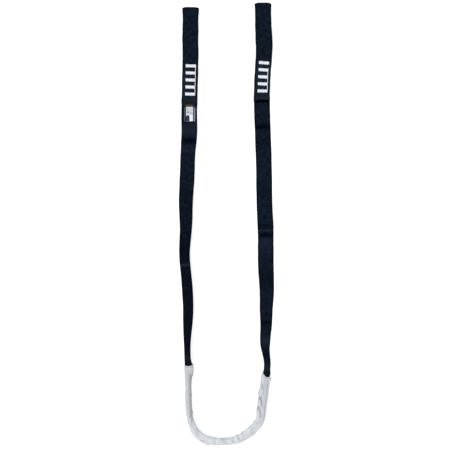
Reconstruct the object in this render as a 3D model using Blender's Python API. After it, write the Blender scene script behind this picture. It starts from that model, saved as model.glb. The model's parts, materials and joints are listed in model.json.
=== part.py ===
"""Flat web sling with a sewn eye at each end and a loose wear sleeve round its bight.

The sling lies on a table (the plane z = 0) in a long U: eyes at +Y, sleeved bight at -Y.
It lies flat at the eyes and rolls up onto its outer edge towards the bight, because webbing
only bends about its own width.

Lengths are in millimetres and angles in degrees; MM turns lengths into Blender's metres.
The sling's route is one line from the left eye's tip, round the bight, to the right eye's tip.
"Along" is the distance from the left tip, and "depth" the distance from an eye's own tip.
"""

import math

import bmesh
import bpy
import numpy as np

MM = 0.001
GAP = 0.3  # between pieces that touch on the real sling
THREAD_EDGE = 0.1  # chamfer along a thread
UP = np.array([0.0, 0.0, 1.0])

# Webbing
WEB_WIDTH = 25.0
WEB_THICKNESS = 2.0
WEB_EDGE = 0.5  # chamfer along its woven edges
RING_STEP = 8.0  # between the sections that a long strip is swept through

# The route: (x, y, lean). Lean is how far the webbing has rolled from flat towards standing on
# its outer edge.
ROUTE = [
    (-57.0, 344.6, 0),
    (-57.4, 300, 0),
    (-57.6, 250, 0),
    (-59.0, 196, 0),
    (-59.2, 160, 0),
    (-59.4, 140, 5),
    (-61.3, 112, 20),
    (-62.8, 74, 19),
    (-64.6, 34, 26),
    (-64.7, -10, 39),
    (-66.6, -52, 47),
    (-64.2, -80, 47),
    (-62.0, -108, 46),
    (-60.9, -142, 49),
    (-62.0, -172, 58),
    (-62.2, -198, 66),
    (-61.3, -226, 67),
    (-60.3, -260, 73),
    (-59.6, -290, 73),
    (-56.3, -316, 72),
    (-43.4, -337, 65),
    (-26.0, -345.6, 59),
    (0.0, -345.6, 64),
    (19.4, -342.0, 60),
    (37.4, -330.9, 61),
    (51.5, -316.2, 61),
    (55.4, -298, 64),
    (58.7, -271, 66),
    (63.0, -242, 65),
    (65.1, -221, 65),
    (63.3, -206, 62),
    (61.8, -188, 49),
    (63.3, -165, 43),
    (63.6, -135, 33),
    (64.6, -104, 22),
    (63.3, -75, 8),
    (63.0, -45, 2),
    (62.6, -8, 0),
    (61.0, 30, 0),
    (60.3, 78, 0),
    (58.9, 128, 0),
    (57.0, 180, 0),
    (56.7, 208, 0),
    (58.2, 242, 0),
    (60.3, 280, 0),
    (58.9, 318, 0),
    (58.3, 352.5, 0),
]

BOX_MIDDLE = (0.19, -1.36)  # of the whole sling, as the route gives its places

# Where the strip arches off the table: (side, y of the crest, reach each way, height)
CRESTS = [
    ("left", 148, 42, 3.0),
    ("left", -44, 40, 2.5),
    ("right", 160, 42, 3.0),
    ("right", 6, 44, 3.0),
]
TACK_LIFT = 0.8  # the sewn stretch stands on the underside of its bar tacks
TACK_LIFT_DEPTHS = (60.0, 80.0)  # the webbing rises to it between these depths
TACK_LIFT_FALL = 25.0  # and comes back down within this much of the lap end
SLEEVE_LIFT = 1.83  # the sleeve's wall lifts the webbing inside it
LIFT_RAMP = 45.0

# Eyes
LOOP_RADIUS = 6.5  # of the webbing's middle at an eye's tip
LOOP_FACETS = 9  # odd, so that one facet is square to the pull
PLY_GAP = GAP
LAP_LIFT = 1.4  # the loose lap end stands this much higher
LAP_LIFT_START = 1.0  # past the last tack
LAP_LIFT_RUN = 5.0
LEFT = {"side": "left", "first_tack": 92.6, "lap_end": 153.0, "fold_y": 147.5}
RIGHT = {"side": "right", "first_tack": 95.6, "lap_end": 155.3, "fold_y": 161.5}

# Bar tacks: each is one thread block that stands out of both faces
TACKS = 5
TACK_PITCH = 11.25
TACK_WIDTH = 5.4
TACK_LENGTHS = [16.8, 16.0, 16.0, 16.0, 16.2]
TACK_PROUD = 0.8
TACK_STEM = 1.6
TACK_SHIFT = 0.8  # towards +X, off the webbing's middle
SLOT_REACH = 3.0  # the slot cutter passes this far out of both plies
CARRY_SHIFT = 8.2  # the thread carried from tack to tack runs this far off the middle
CARRY_WIDTH = 0.8
CARRY_THICKNESS = 0.5
CARRY_SLOPE = 0.6  # the run in which it climbs onto a tack

# Label, a flap sewn in under the left lap end
LABEL_WIDTH = 19.0
LABEL_LENGTH = 26.0
LABEL_THICKNESS = 0.9
LABEL_EDGE = 0.2  # chamfer along its sides
LABEL_HINGE = 2.4  # from the lap end
LABEL_SLIT = 0.4  # half the gap at the flap's hinge
LABEL_TAIL = 6.5  # the stretch of it under the lap

# Wear sleeve, a flattened fabric tube
SLEEVE_WIDTH = 29.0
SLEEVE_WALL = 0.7
LEFT_MOUTH_Y = -224.5
RIGHT_MOUTH_Y = -240.0
# (distance along the sleeve from its left mouth as a share, thickness of the tube there)
FULLNESS = [
    (0.0, 7.5),
    (0.07, 4.8),
    (0.24, 4.8),
    (0.36, 7.0),
    (0.50, 5.5),
    (0.62, 7.0),
    (0.94, 7.5),
    (1.0, 8.8),
]
ARC_POINTS = 5
HEM_INSET = 5.0  # stitch row from the mouth
HEM_REACH = 0.6  # how far that row goes over each face, as a share of the face's half width
SEAM_INSET = 3.0  # stitch row from the sleeve's lower edge
THREAD_WIDTH = 0.8
THREAD_THICKNESS = 0.4

# How the webbing is divided where it flexes
NECK_INSIDE = 32.0  # the neck piece runs this far into the sleeve
NECK_OUTSIDE = 20.0
NECK_TRAVEL = 12.0
CORE_GAP = 3.0
FOLD_SLIT = 0.4  # half the gap at an eye's fold
SWING_SLIT = 0.9  # half the gap at a leg's swing axis

COLOURS = {
    "webbing": ((0.010, 0.014, 0.022), 0.85),
    "tack_thread": ((0.86, 0.87, 0.89), 0.6),
    "sleeve_fabric": ((0.62, 0.64, 0.68), 0.8),
    "sleeve_thread": ((0.78, 0.79, 0.81), 0.6),
    "label_print": ((0.08, 0.085, 0.09), 0.5),
}


def clear_scene():
    for item in list(bpy.data.objects):
        bpy.data.objects.remove(item)


def material(name):
    """The Principled material of one of COLOURS, made once."""
    made = bpy.data.materials.get(name)
    if made is None:
        colour, roughness = COLOURS[name]
        made = bpy.data.materials.new(name)
        made.use_nodes = True
        shader = made.node_tree.nodes["Principled BSDF"]
        shader.inputs["Base Color"].default_value = (*colour, 1)
        shader.inputs["Roughness"].default_value = roughness
        shader.inputs["Metallic"].default_value = 0
        made.diffuse_color = (*colour, 1)
    return made


# Curves through hand-chosen points


def natural_cubic(knots, values, at):
    """A natural cubic spline through values at knots, read at the places in at."""
    knots, values, at = (np.asarray(x, float) for x in (knots, values, at))
    step = np.diff(knots)
    rise = np.diff(values) / step
    count = len(knots)
    matrix, right = np.eye(count), np.zeros(count)
    for i in range(1, count - 1):
        matrix[i, i - 1 : i + 2] = step[i - 1], 2 * (step[i - 1] + step[i]), step[i]
        right[i] = 6 * (rise[i] - rise[i - 1])
    bend = np.linalg.solve(matrix, right)
    i = np.clip(np.searchsorted(knots, at) - 1, 0, count - 2)
    u, h = at - knots[i], step[i]
    slope = rise[i] - h * (2 * bend[i] + bend[i + 1]) / 6
    return values[i] + u * (slope + u * (bend[i] / 2 + u * (bend[i + 1] - bend[i]) / (6 * h)))


def eased(knots, values, at):
    """Values that ease from knot to knot and never pass beyond them."""
    knots, values, at = (np.asarray(x, float) for x in (knots, values, at))
    step = np.diff(knots)
    rise = np.diff(values) / step
    slope = np.zeros(len(knots))
    for i in range(1, len(knots) - 1):
        if rise[i - 1] * rise[i] > 0:
            slope[i] = 2 * rise[i - 1] * rise[i] / (rise[i - 1] + rise[i])
    i = np.clip(np.searchsorted(knots, at) - 1, 0, len(knots) - 2)
    h = step[i]
    t = np.clip((at - knots[i]) / h, 0, 1)
    start = values[i] * (1 + 2 * t) * (1 - t) ** 2 + h * slope[i] * t * (1 - t) ** 2
    end = values[i + 1] * t**2 * (3 - 2 * t) + h * slope[i + 1] * t**2 * (t - 1)
    return start + end


def ramp(x):
    """0 below 0, 1 above 1, smooth between."""
    x = np.clip(x, 0, 1)
    return x * x * (3 - 2 * x)


class Route:
    """The sling's line in plan, with how the webbing leans and how high it lies."""

    def __init__(self):
        points = np.array(ROUTE, float)
        points[:, :2] -= BOX_MIDDLE
        chord = np.concatenate([[0], np.cumsum(np.linalg.norm(np.diff(points[:, :2], axis=0), axis=1))])
        fine = np.linspace(0, chord[-1], 6001)
        self.x, self.y = (natural_cubic(chord, points[:, k], fine) for k in (0, 1))
        run = np.hypot(np.diff(self.x), np.diff(self.y))
        self.along = np.concatenate([[0], np.cumsum(run)])
        self.length = self.along[-1]
        self.lean = eased(chord, points[:, 2], fine)
        self.turn = self.along[np.argmin(self.y)]
        self.mouths = self.at_y("left", LEFT_MOUTH_Y), self.at_y("right", RIGHT_MOUTH_Y)

    def at_y(self, side, y):
        """The distance along at which one leg crosses y."""
        leg = self.along < self.turn if side == "left" else self.along >= self.turn
        order = np.argsort(self.y[leg])
        return float(np.interp(y, self.y[leg][order], self.along[leg][order]))

    def depth(self, side, distance):
        """Along, for a distance from one eye's tip."""
        return distance if side == "left" else self.length - distance

    def plan(self, along):
        return np.array([np.interp(along, self.along, self.x), np.interp(along, self.along, self.y), 0.0])

    def heading(self, along):
        """The level direction of travel."""
        ahead = self.plan(along + 0.5) - self.plan(along - 0.5)
        return ahead / np.linalg.norm(ahead)

    def inward(self, along):
        """The level direction across the webbing, towards the inside of the U."""
        return np.cross(UP, self.heading(along))

    def lean_at(self, along):
        return math.radians(float(np.interp(along, self.along, self.lean)))

    def across(self, along):
        """The webbing's width direction, towards its raised edge."""
        lean = self.lean_at(along)
        return math.cos(lean) * self.inward(along) + math.sin(lean) * UP

    def face(self, along):
        """The direction out of the webbing's upper face."""
        lean = self.lean_at(along)
        return math.cos(lean) * UP - math.sin(lean) * self.inward(along)

    def lift(self, along):
        """How far the webbing's lowest edge is above the table."""
        total = 0.0
        for eye in (LEFT, RIGHT):
            depth = along if eye["side"] == "left" else self.length - along
            low, high = TACK_LIFT_DEPTHS
            rising = ramp((depth - low) / (high - low))
            falling = ramp((eye["lap_end"] + TACK_LIFT_FALL - depth) / TACK_LIFT_FALL)
            total += TACK_LIFT * float(rising * falling)
        start, end = self.mouths
        outside = max(start - along, along - end, 0.0)
        total += SLEEVE_LIFT * float(1 - ramp(outside / LIFT_RAMP))
        for side, y, reach, height in CRESTS:
            off = min(abs(along - self.at_y(side, y)) / reach, 1.0)
            total += height * (1 + math.cos(math.pi * off)) / 2
        return total

    def centre(self, along):
        """The middle of the webbing's section where it lies in one ply."""
        lean = self.lean_at(along)
        height = WEB_WIDTH / 2 * math.sin(lean) + WEB_THICKNESS / 2 * math.cos(lean)
        return self.plan(along) + (height + self.lift(along)) * UP


# Solids


def new_object(name, mesh_maker, material_name):
    mesh = bpy.data.meshes.new(name)
    mesh_maker.to_mesh(mesh)
    mesh_maker.free()
    mesh.materials.append(material(material_name))
    made = bpy.data.objects.new(name, mesh)
    bpy.context.scene.collection.objects.link(made)
    return made


def ring(bm, centre, across, out, outline):
    return [bm.verts.new((centre + a * across + b * out) * MM) for a, b in outline]


def join_rings(bm, first, second):
    count = len(first)
    for i in range(count):
        j = (i + 1) % count
        bm.faces.new((first[i], first[j], second[j], second[i]))


def chamfered(width, thickness, edge):
    """A strip's section: (across, out) points of a rectangle with its corners cut."""
    w, t = width / 2, thickness / 2
    return [
        (w - edge, t), (-w + edge, t), (-w, t - edge), (-w, -t + edge),
        (-w + edge, -t), (w - edge, -t), (w, -t + edge), (w, t - edge),
    ]


def stadium(width, thickness):
    """A flattened tube's section: two straight faces and two half-round edges."""
    radius = thickness / 2
    flat = width / 2 - radius
    points = []
    for side, start in ((1, -90), (-1, 90)):
        for i in range(ARC_POINTS + 1):
            angle = math.radians(start + 180 * i / ARC_POINTS)
            points.append((side * flat + radius * math.cos(angle), radius * math.sin(angle)))
    return points


def strip(name, spine, sides, width, thickness, edge, material_name):
    """A flat strip swept along spine. sides are its width directions."""
    spine, bm = np.array(spine), bmesh.new()
    outline = chamfered(width, thickness, edge)
    rings = []
    for i, centre in enumerate(spine):
        ahead = spine[min(i + 1, len(spine) - 1)] - spine[max(i - 1, 0)]
        out = np.cross(ahead, sides[i])
        out /= np.linalg.norm(out)
        across = np.cross(out, ahead)
        across /= np.linalg.norm(across)
        rings.append(ring(bm, centre, across, out, outline))
    for first, second in zip(rings, rings[1:]):
        join_rings(bm, first, second)
    bm.faces.new(rings[0])
    bm.faces.new(rings[-1])
    bmesh.ops.recalc_face_normals(bm, faces=bm.faces)
    made = new_object(name, bm, material_name)
    made.data.shade_smooth()
    made.data.set_sharp_from_angle(angle=math.radians(40))
    return made


def steps(start, end, step=RING_STEP):
    return np.linspace(start, end, max(2, math.ceil(abs(end - start) / step) + 1))


def single_ply(name, route, start, end):
    """The webbing between two distances along, where it is one ply."""
    along = steps(start, end)
    return strip(
        name,
        [route.centre(s) for s in along],
        [route.across(s) for s in along],
        WEB_WIDTH,
        WEB_THICKNESS,
        WEB_EDGE,
        "webbing",
    )


# Eyes


def lap_start(eye):
    """The depth at which the loose lap end begins to rise off the sewn plies."""
    return eye["first_tack"] + (TACKS - 1) * TACK_PITCH + TACK_WIDTH / 2 + LAP_LIFT_START


def upper_ply(eye, depth):
    """The height of the upper ply's middle over the lower ply's, at a depth from the eye's tip."""
    tip = LOOP_RADIUS + WEB_THICKNESS / 2
    closing = ramp((depth - tip) / (eye["first_tack"] - TACK_WIDTH - tip))
    sewn = WEB_THICKNESS + PLY_GAP
    lap_rise = LAP_LIFT * float(ramp((depth - lap_start(eye)) / LAP_LIFT_RUN))
    return 2 * LOOP_RADIUS + (sewn - 2 * LOOP_RADIUS) * float(closing) + lap_rise


def eye_spine(route, eye):
    """From the lap end, out over the upper ply, round the tip and back along the lower ply."""
    side, tip = eye["side"], LOOP_RADIUS + WEB_THICKNESS / 2
    spine, sides = [], []

    def add(depth, height):
        along = route.depth(side, depth)
        spine.append(route.centre(along) + height * UP)
        sides.append(route.inward(along))

    lap = lap_start(eye)
    edges = [eye["lap_end"], lap + LAP_LIFT_RUN, lap, eye["first_tack"] - TACK_WIDTH, tip]
    for start, end in zip(edges, edges[1:]):
        for depth in steps(start, end)[:-1]:
            add(depth, upper_ply(eye, depth))
    for i in range(LOOP_FACETS + 1):
        angle = math.pi * i / LOOP_FACETS
        add(tip - LOOP_RADIUS * math.sin(angle), LOOP_RADIUS * (1 + math.cos(angle)))
    fold = route.at_y(side, eye["fold_y"])
    end = fold if side == "left" else route.length - fold
    for depth in steps(tip, end - FOLD_SLIT)[1:]:
        add(depth, 0.0)
    return spine, sides


def tack_frame(route, eye, index):
    """(middle of the lower ply, +X-side width direction, direction towards the tip) of one tack."""
    depth = eye["first_tack"] + index * TACK_PITCH
    along = route.depth(eye["side"], depth)
    to_tip = -route.heading(along) if eye["side"] == "left" else route.heading(along)
    across = np.cross(to_tip, UP)
    return route.centre(along) + TACK_SHIFT * across, across, to_tip


def extruded(name, profile, origin, u, v, along, length, material_name):
    """A flat profile of (u, v) points, pushed out by length, centred on origin."""
    bm = bmesh.new()
    start = origin - along * length / 2
    face = bm.faces.new([bm.verts.new((start + a * u + b * v) * MM) for a, b in profile])
    pushed = bmesh.ops.extrude_face_region(bm, geom=[face])
    moved = [item for item in pushed["geom"] if isinstance(item, bmesh.types.BMVert)]
    bmesh.ops.translate(bm, verts=moved, vec=tuple(along * length * MM))
    bmesh.ops.recalc_face_normals(bm, faces=bm.faces)
    return new_object(name, bm, material_name)


def bar_tack(route, eye, index, webbing):
    """One tack, an H in section, and the slot that it fills in both plies."""
    middle, across, to_tip = tack_frame(route, eye, index)
    low = -WEB_THICKNESS / 2
    high = WEB_THICKNESS * 1.5 + PLY_GAP
    clear = GAP / 2
    wide, stem = TACK_WIDTH / 2, TACK_STEM / 2
    right_half = [
        (wide, low - TACK_PROUD), (wide, low - clear), (stem, low - clear),
        (stem, high + clear), (wide, high + clear), (wide, high + TACK_PROUD),
    ]
    profile = right_half + [(-a, b) for a, b in reversed(right_half)]
    length = TACK_LENGTHS[index]
    name = f"{eye['side']}_bar_tack_{index + 1}"
    extruded(name, profile, middle, to_tip, UP, across, length, "tack_thread")

    slot, top, bottom = stem + GAP, high + SLOT_REACH, low - SLOT_REACH
    outline = [(slot, bottom), (slot, top), (-slot, top), (-slot, bottom)]
    cutter = extruded(
        name + "_slot", outline, middle, to_tip, UP, across, length + 2 * GAP, "webbing"
    )
    cutter.hide_render = True
    cutter.display_type = "WIRE"
    cut = webbing.modifiers.new(name, "BOOLEAN")
    cut.operation = "DIFFERENCE"
    cut.solver = "EXACT"
    cut.object = cutter


def carry_thread(route, eye, first):
    """The thread carried over the lap from tack to tack, from tack number first to the last."""
    spine, sides = [], []
    web_top = WEB_THICKNESS * 1.5 + PLY_GAP + GAP + CARRY_THICKNESS / 2
    for index in range(first, TACKS):
        middle, across, to_tip = tack_frame(route, eye, index)
        edge = TACK_WIDTH / 2 + GAP + CARRY_THICKNESS
        top = edge - CARRY_SLOPE
        stations = [(edge, 0.0), (top, TACK_PROUD), (-top, TACK_PROUD), (-edge, 0.0)]
        if index == first:
            stations = stations[1:]
        if index == TACKS - 1:
            stations = stations[:-1]
        for offset, height in stations:
            shift = (CARRY_SHIFT - TACK_SHIFT) * across + offset * to_tip
            spine.append(middle + shift + (web_top + height) * UP)
            sides.append(across)
    name = f"{eye['side']}_carry_thread"
    strip(name, spine, sides, CARRY_WIDTH, CARRY_THICKNESS, THREAD_EDGE, "tack_thread")


def build_eye(route, eye, first_carried):
    spine, sides = eye_spine(route, eye)
    webbing = strip(
        f"{eye['side']}_eye_webbing", spine, sides, WEB_WIDTH, WEB_THICKNESS, WEB_EDGE, "webbing"
    )
    for index in range(TACKS):
        bar_tack(route, eye, index, webbing)
    carry_thread(route, eye, first_carried)


# Label


def label_strip(name, route, start, end):
    """A stretch of the label, lying on the left leg's upper face, between two depths."""
    depths = steps(start, end, 5.0)
    out = WEB_THICKNESS / 2 + GAP + LABEL_THICKNESS / 2
    strip(
        name,
        [route.centre(s) + out * route.face(s) for s in depths],
        [route.across(s) for s in depths],
        LABEL_WIDTH,
        LABEL_THICKNESS,
        LABEL_EDGE,
        "label_print",
    )


def build_label(route):
    hinge = LEFT["lap_end"] + LABEL_HINGE
    label_strip("label_tail", route, LEFT["lap_end"] - LABEL_TAIL, hinge - LABEL_SLIT)
    label_strip("label_flap", route, hinge + LABEL_SLIT, hinge + LABEL_SLIT + LABEL_LENGTH)


# Wear sleeve


def fullness(route, along):
    """The sleeve's thickness at a distance along."""
    start, end = route.mouths
    shares, values = zip(*FULLNESS)
    return float(eased(shares, values, (along - start) / (end - start)))


def build_sleeve(route):
    """A tube, open at both mouths."""
    bm = bmesh.new()
    outer, inner = [], []
    for along in steps(*route.mouths):
        centre, across, out = route.centre(along), route.across(along), route.face(along)
        thickness = fullness(route, along)
        outer.append(ring(bm, centre, across, out, stadium(SLEEVE_WIDTH, thickness)))
        bore = stadium(SLEEVE_WIDTH - 2 * SLEEVE_WALL, thickness - 2 * SLEEVE_WALL)
        inner.append(ring(bm, centre, across, out, bore))
    for wall in (outer, inner):
        for first, second in zip(wall, wall[1:]):
            join_rings(bm, first, second)
    for end in (0, -1):
        join_rings(bm, outer[end], inner[end])
    bmesh.ops.recalc_face_normals(bm, faces=bm.faces)
    made = new_object("wear_sleeve", bm, "sleeve_fabric")
    made.data.shade_smooth()
    made.data.set_sharp_from_angle(angle=math.radians(50))


def build_hem_stitching(route, side):
    """The thread of one hem, over both faces and the raised edge, clear of the table."""
    start, end = route.mouths
    along = start + HEM_INSET if side == "left" else end - HEM_INSET
    centre, across, out = route.centre(along), route.across(along), route.face(along)
    proud = GAP + THREAD_THICKNESS / 2
    outline = stadium(SLEEVE_WIDTH + 2 * proud, fullness(route, along) + 2 * proud)
    raised = outline[: ARC_POINTS + 1]
    lowered = outline[ARC_POINTS + 1 :]
    ends = [(HEM_REACH * a, b) for a, b in (lowered[-1], lowered[0])]
    path = [ends[0], *raised, ends[1]]
    spine = [centre + a * across + b * out for a, b in path]
    sides = [route.heading(along)] * len(spine)
    name = f"{side}_hem_stitching"
    strip(name, spine, sides, THREAD_WIDTH, THREAD_THICKNESS, THREAD_EDGE, "sleeve_thread")


def build_seam_stitching(route):
    """The thread of the sleeve's lengthwise seam, on its upper face near its lower edge."""
    start, end = route.mouths
    inset = HEM_INSET + THREAD_WIDTH + GAP
    spine, sides = [], []
    for along in steps(start + inset, end - inset):
        thickness = fullness(route, along)
        out = thickness / 2 + GAP + THREAD_THICKNESS / 2
        shift = SEAM_INSET + thickness / 2 - SLEEVE_WIDTH / 2
        spine.append(route.centre(along) + out * route.face(along) + shift * route.across(along))
        sides.append(route.across(along))
    name = "seam_stitching"
    strip(name, spine, sides, THREAD_WIDTH, THREAD_THICKNESS, THREAD_EDGE, "sleeve_thread")


# Webbing between the eyes


def build_legs(route):
    for side, eye, mouth, outward in (
        ("left", LEFT, route.mouths[0], -1),
        ("right", RIGHT, route.mouths[1], 1),
    ):
        fold = route.at_y(side, eye["fold_y"])
        swing = mouth + outward * (NECK_OUTSIDE + SWING_SLIT)
        single_ply(
            f"{side}_leg_webbing", route, fold - outward * FOLD_SLIT, swing + outward * SWING_SLIT
        )
        single_ply(
            f"{side}_neck_webbing",
            route,
            mouth + outward * NECK_OUTSIDE,
            mouth - outward * NECK_INSIDE,
        )
    inside = NECK_INSIDE + NECK_TRAVEL + CORE_GAP
    single_ply("bight_webbing", route, route.mouths[0] + inside, route.mouths[1] - inside)


def main():
    clear_scene()
    route = Route()
    build_eye(route, LEFT, first_carried=0)
    build_eye(route, RIGHT, first_carried=1)
    build_label(route)
    build_legs(route)
    build_sleeve(route)
    for side in ("left", "right"):
        build_hem_stitching(route, side)
    build_seam_stitching(route)


main()
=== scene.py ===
"""Looks of the flat web sling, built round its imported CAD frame.

The sling lies in a long U on a pale table, seen from straight above. The CAD model says where
everything lies and how it moves. Each piece here stands for CAD solids and gives them their real
surface: woven webbing with rounded selvedges, bar tacks made of single stitches, a printed label,
and a loose sleeve with folds, sewn hems and a seam.

Lengths are in millimetres and angles in degrees; MM turns lengths into Blender's metres.
"Along" is the distance from the left eye's tip on the sling's route, and "depth" the distance from
an eye's own tip, as in the CAD model. Strips are swept through sections whose points are
(across, out): across the strip's width, and out of its face.
"""

import json
import math

import bpy
import numpy as np
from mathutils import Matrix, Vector


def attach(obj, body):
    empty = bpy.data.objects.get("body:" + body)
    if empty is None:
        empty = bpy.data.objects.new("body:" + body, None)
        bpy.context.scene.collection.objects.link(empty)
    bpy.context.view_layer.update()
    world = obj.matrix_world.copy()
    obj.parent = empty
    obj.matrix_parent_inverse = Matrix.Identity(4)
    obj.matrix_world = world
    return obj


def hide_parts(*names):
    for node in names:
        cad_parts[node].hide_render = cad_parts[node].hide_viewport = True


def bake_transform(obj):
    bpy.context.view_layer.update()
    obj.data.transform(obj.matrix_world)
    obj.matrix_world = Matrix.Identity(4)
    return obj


MM = 0.001
UP = np.array([0.0, 0.0, 1.0])

# The route of the webbing, as in the CAD model: (x, y, lean)
ROUTE = [
    (-57.0, 344.6, 0), (-57.4, 300, 0), (-57.6, 250, 0), (-59.0, 196, 0), (-59.2, 160, 0),
    (-59.4, 140, 5), (-61.3, 112, 20), (-62.8, 74, 19), (-64.6, 34, 26), (-64.7, -10, 39),
    (-66.6, -52, 47), (-64.2, -80, 47), (-62.0, -108, 46), (-60.9, -142, 49), (-62.0, -172, 58),
    (-62.2, -198, 66), (-61.3, -226, 67), (-60.3, -260, 73), (-59.6, -290, 73), (-56.3, -316, 72),
    (-43.4, -337, 65), (-26.0, -345.6, 59), (0.0, -345.6, 64), (19.4, -342.0, 60), (37.4, -330.9, 61),
    (51.5, -316.2, 61), (55.4, -298, 64), (58.7, -271, 66), (63.0, -242, 65), (65.1, -221, 65),
    (63.3, -206, 62), (61.8, -188, 49), (63.3, -165, 43), (63.6, -135, 33), (64.6, -104, 22),
    (63.3, -75, 8), (63.0, -45, 2), (62.6, -8, 0), (61.0, 30, 0), (60.3, 78, 0), (58.9, 128, 0),
    (57.0, 180, 0), (56.7, 208, 0), (58.2, 242, 0), (60.3, 280, 0), (58.9, 318, 0), (58.3, 352.5, 0),
]
BOX_MIDDLE = (0.19, -1.36)
CRESTS = [
    ("left", 148, 42, 3.0),
    ("left", -44, 40, 2.5),
    ("right", 160, 42, 3.0),
    ("right", 6, 44, 3.0),
]
TACK_LIFT = 0.8
TACK_LIFT_DEPTHS = (60.0, 80.0)
TACK_LIFT_FALL = 25.0
SLEEVE_LIFT = 1.83
LIFT_RAMP = 45.0

# Webbing
WEB_WIDTH = 25.0
WEB_THICKNESS = 2.0
RING_STEP = 0.7
SELVEDGE = 2.3  # the width over which each edge rounds off
SELVEDGE_POINTS = 9
SELVEDGE_RIB = 2.1
WALES = 9  # lengthwise cords of the weave
WALE_PITCH = (WEB_WIDTH - 2 * SELVEDGE) / WALES
WALE_POINTS = 4
WALE_DEPTH = 0.13
FLOAT_LENGTH = 4.2  # each wale rises and falls once in this length
END_ROUNDING = 0.9

# Eyes, as in the CAD model, except that the right lap ends 1.4 mm further from its tip
LOOP_RADIUS = 6.5
PLY_GAP = 0.3
LAP_LIFT = 1.4  # the loose lap end stands this much higher
LAP_LIFT_START = 1.0  # past the last tack
LAP_LIFT_RUN = 5.0
LAP_CORNERS = {"left": 0.0, "right": 0.55}  # how far each corner of the lap end splays
LAP_ARCH = 0.9  # how much higher the middle of the lap end's edge stands than its corners
LAP_HOLLOW = 2.3  # and how far back it lies
LAP_END_RUN = 9.0  # the length over which the lap end takes this shape
EDGE_SPREAD = 0.2  # how far each edge of the soft webbing stands beyond its width
PLY_SPREAD = {"left": 0.0, "right": 0.6}  # how much further where an eye's plies lie a little askew
ASKEW = (62.0, 38.0)  # the depth where they do, and half the length
TIP_FLARE = 0.55  # how much wider each edge is where the webbing turns at an eye's tip
TIP_RUN = 7.0
TIP_WAIST = 0.35  # and how much narrower just behind
WAIST = (20.0, 9.0)  # its depth and half its length
TIP_REACH = {"left": 0.8, "right": 0.0}  # how far an eye's tip bulges past its round
TIP_ROUNDING = 1.4  # how far the corners of the tip are drawn back
LEFT = {"side": "left", "first_tack": 92.6, "lap_end": 153.0, "body": "left_eye"}
RIGHT = {"side": "right", "first_tack": 95.6, "lap_end": 156.7, "body": "right_eye"}
FOLD_BLEND = 15.5  # half the length of the span round a fold
PAST_FOLD = 70.0  # how far past the fold an eye's strap runs on down the leg
EYE_WAVE, LEG_WAVE = 0.22, 0.10  # how far the edges wander

# Bar tacks
TACKS = 5
TACK_PITCH = 11.25
TACK_WIDTH = 5.4
TACK_LENGTHS = [16.8, 16.0, 16.0, 16.0, 16.2]
TACK_SHIFT = 0.8
STITCH_PITCH = 0.74
STITCH_SLANT = 0.6
STITCH_RADIUS = 0.37
STITCH_RISE = 0.42
CARRY_SHIFT = 8.2
CARRY_RADIUS = 0.38
THREAD_SIDES = 6
THREAD_PINCH = 0.45  # how thin its ends are

# Label
LABEL_WIDTH = 18.6
LABEL_THICKNESS = 0.7
LABEL_HINGE = 2.4
LABEL_TAIL = 6.0
LABEL_LENGTH = 26.0
LABEL_POINTS = 33  # across each face
LABEL_BLEND = (-1.6, 2.4)  # a span round its hinge, from it
LABEL_PRINT_SHIFT = 0.6
LABEL_U = 100.0  # the UV map's value at the middle of the label

# Sleeve
SLEEVE_WIDTH = 29.0
SLEEVE_WALL = 0.7
LEFT_MOUTH_Y = -224.5
RIGHT_MOUTH_Y = -240.0
FULLNESS = [
    (0.0, 7.5),
    (0.07, 4.8),
    (0.24, 4.8),
    (0.36, 7.0),
    (0.50, 5.5),
    (0.62, 7.0),
    (0.94, 7.5),
    (1.0, 8.8),
]
SLEEVE_STEP = 0.8
CAP_POINTS = 14
FLAT_POINTS = 42
SLEEVE_LENGTH = 297.0
SLEEVE_FACE = 27.0  # what a place of 1 round the sleeve comes to, for its folds
# (share along the sleeve, how far its lower edge and its raised edge stand out of the even tube)
SPREAD = [
    (0.000, -2.2, 1.0), (0.020, -1.8, 1.8), (0.042, -1.2, 2.1), (0.066, -0.2, 0.7), (0.100, -0.2, 0.1),
    (0.120, -0.8, 0.0), (0.165, 0.3, 0.2), (0.205, 0.0, 0.1), (0.228, -0.4, 0.4), (0.245, -0.2, 1.4),
    (0.262, -0.5, 0.2), (0.285, -1.0, 0.2), (0.303, -0.6, 0.6), (0.323, -1.1, 0.8), (0.343, -0.3, 0.7),
    (0.363, -0.4, 0.5), (0.383, -0.4, 0.6), (0.404, -0.6, 0.1), (0.424, 0.2, 0.0), (0.440, 0.4, 0.0),
    (0.464, -0.8, 0.4), (0.500, -0.6, -0.2), (0.524, -0.4, -0.2), (0.546, 0.0, -0.8), (0.570, -0.1, -1.1),
    (0.588, -0.4, -0.9), (0.604, -0.4, 0.4), (0.625, -0.3, -0.9), (0.645, -0.4, 0.3), (0.665, 0.1, -0.4),
    (0.685, 0.7, -0.2), (0.705, -0.7, 0.4), (0.745, -0.4, 0.3), (0.765, -0.4, -1.3), (0.790, 0.2, -0.9),
    (0.826, 0.3, 0.0), (0.850, 0.4, -0.4), (0.870, 0.6, 0.2), (0.886, 1.1, -0.5), (0.906, 0.6, 1.0),
    (0.926, 0.6, 0.3), (0.946, 0.3, -0.8), (0.966, 0.2, -0.4), (0.986, 0.5, -1.2), (1.000, 0.3, -2.2),
]
RIM_RUN = 16.0  # how far from a mouth its rim still draws the cloth along
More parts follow.
